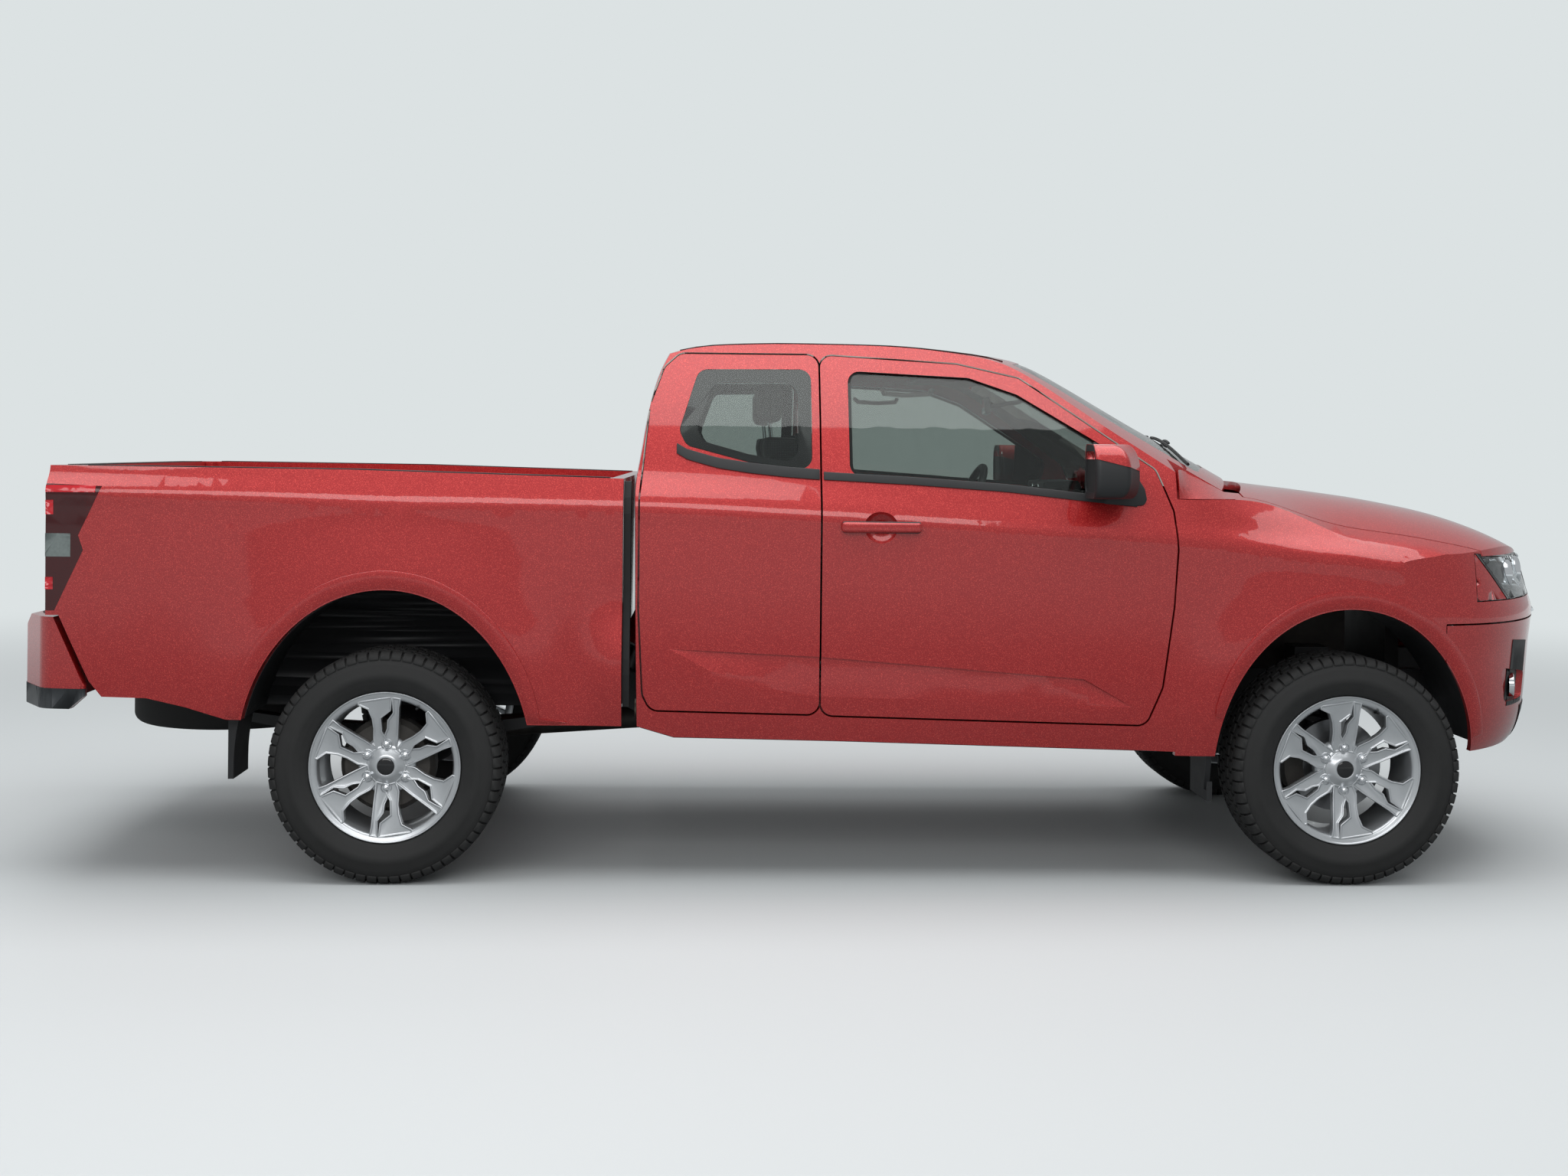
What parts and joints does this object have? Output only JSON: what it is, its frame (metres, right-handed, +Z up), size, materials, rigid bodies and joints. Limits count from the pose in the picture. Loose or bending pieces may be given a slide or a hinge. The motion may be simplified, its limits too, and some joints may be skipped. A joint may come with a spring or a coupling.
{
  "type": "pickup truck",
  "caption": "Extended-cab pickup truck: steerable and rolling wheels, opening front and rear-hinged access doors, bonnet and drop-down tailgate on a ladder chassis.",
  "frame": {"origin": "on the ground, midway along the overall length, in the centre plane", "axes": "+X forward, +Y to the vehicle's left, +Z up"},
  "size_m": [5.265, 2.1988, 1.7853],
  "materials": {
    "alloy": "painted satin silver",
    "black_plastic": "grained",
    "chassis_black": "satin",
    "glass": "polished",
    "grille_finish": "gloss",
    "headlamp_lens": "polished clear",
    "raw_iron": "rough cast",
    "red_paint": "metallic clearcoat gloss",
    "rubber": "matt",
    "seat_cloth": "woven",
    "steel": "machined",
    "tail_lens": "polished red",
    "trim_plastic": "grained"
  },
  "bodies": {
    "root": {"ladder_frame": "chassis_black", "front_suspension": "chassis_black", "rear_axle": "chassis_black", "leaf_springs": "chassis_black", "engine_block": "raw_iron", "driveline": "raw_iron", "radiator": "black_plastic", "exhaust": "steel", "fuel_tank": "black_plastic", "spare_wheel": "rubber", "arch_liners": "black_plastic", "seats": "seat_cloth", "dashboard": "trim_plastic", "cab_shell": "red_paint", "cab_glass": "glass", "headlamps": "headlamp_lens", "front_bumper": "red_paint", "front_fenders": "red_paint", "grille": "grille_finish", "load_bed": "red_paint", "tail_lamps": "tail_lens", "rear_bumper": "red_paint"},
    "steering_wheel": {"steering_wheel": "black_plastic"},
    "bonnet": {"bonnet": "red_paint"},
    "tailgate": {"tailgate": "red_paint"},
    "knuckle_left": {"knuckle_left": "raw_iron"},
    "wheel_front_left": {"tyre_front_left": "rubber", "rim_front_left": "alloy", "brake_disc_left": "steel"},
    "wheel_rear_left": {"tyre_rear_left": "rubber", "rim_rear_left": "alloy", "brake_drum_left": "raw_iron"},
    "door_left": {"door_left": "red_paint", "door_glass_left": "glass", "mirror_left": "black_plastic"},
    "access_door_left": {"access_door_left": "red_paint", "quarter_glass_left": "glass"},
    "knuckle_right": {"knuckle_right": "raw_iron"},
    "wheel_front_right": {"tyre_front_right": "rubber", "rim_front_right": "alloy", "brake_disc_right": "steel"},
    "wheel_rear_right": {"tyre_rear_right": "rubber", "rim_rear_right": "alloy", "brake_drum_right": "raw_iron"},
    "door_right": {"door_right": "red_paint", "door_glass_right": "glass", "mirror_right": "black_plastic"},
    "access_door_right": {"access_door_right": "red_paint", "quarter_glass_right": "glass"}
  },
  "joints": [
    {"name": "steer_left", "type": "hinge", "parent": "root", "child": "knuckle_left", "pos_m": [1.7275, 0.663, 0.375], "axis": [0, 0, 1], "range_deg": [-33, 33]},
    {"name": "wheel_front_left_spin", "type": "hinge", "parent": "knuckle_left", "child": "wheel_front_left", "pos_m": [1.7275, 0.785, 0.375], "axis": [0, 1, 0], "continuous": true},
    {"name": "wheel_rear_left_spin", "type": "hinge", "parent": "root", "child": "wheel_rear_left", "pos_m": [-1.3975, 0.785, 0.375], "axis": [0, 1, 0], "continuous": true},
    {"name": "door_left_hinge", "type": "hinge", "parent": "root", "child": "door_left", "pos_m": [1.15406, 0.933, 0.9], "axis": [0, 0, -1], "range_deg": [0, 65]},
    {"name": "access_door_left_hinge", "type": "hinge", "parent": "root", "child": "access_door_left", "pos_m": [-0.58656, 0.933, 0.9], "axis": [0, 0, 1], "range_deg": [0, 85]},
    {"name": "steer_right", "type": "hinge", "parent": "root", "child": "knuckle_right", "pos_m": [1.7275, -0.663, 0.375], "axis": [0, 0, 1], "range_deg": [-33, 33]},
    {"name": "wheel_front_right_spin", "type": "hinge", "parent": "knuckle_right", "child": "wheel_front_right", "pos_m": [1.7275, -0.785, 0.375], "axis": [0, 1, 0], "continuous": true},
    {"name": "wheel_rear_right_spin", "type": "hinge", "parent": "root", "child": "wheel_rear_right", "pos_m": [-1.3975, -0.785, 0.375], "axis": [0, 1, 0], "continuous": true},
    {"name": "door_right_hinge", "type": "hinge", "parent": "root", "child": "door_right", "pos_m": [1.15406, -0.933, 0.9], "axis": [0, 0, 1], "range_deg": [0, 65]},
    {"name": "access_door_right_hinge", "type": "hinge", "parent": "root", "child": "access_door_right", "pos_m": [-0.58656, -0.933, 0.9], "axis": [0, 0, -1], "range_deg": [0, 85]},
    {"name": "steering_wheel_turn", "type": "hinge", "parent": "root", "child": "steering_wheel", "pos_m": [0.6275, 0.385, 1.16918], "axis": [0.9135, 0, -0.4067], "range_deg": [-495, 495]},
    {"name": "bonnet_hinge", "type": "hinge", "parent": "root", "child": "bonnet", "pos_m": [1.40538, 0, 1.265], "axis": [0, -1, 0], "range_deg": [0, 40]},
    {"name": "tailgate_hinge", "type": "hinge", "parent": "root", "child": "tailgate", "pos_m": [-2.43848, 0, 0.90029], "axis": [0, -1, 0], "range_deg": [0, 90]}
  ],
  "couplings": [
    {"joint": "steer_right", "follows": "steer_left", "ratio": 1},
    {"joint": "steering_wheel_turn", "follows": "steer_left", "ratio": -15}
  ]
}
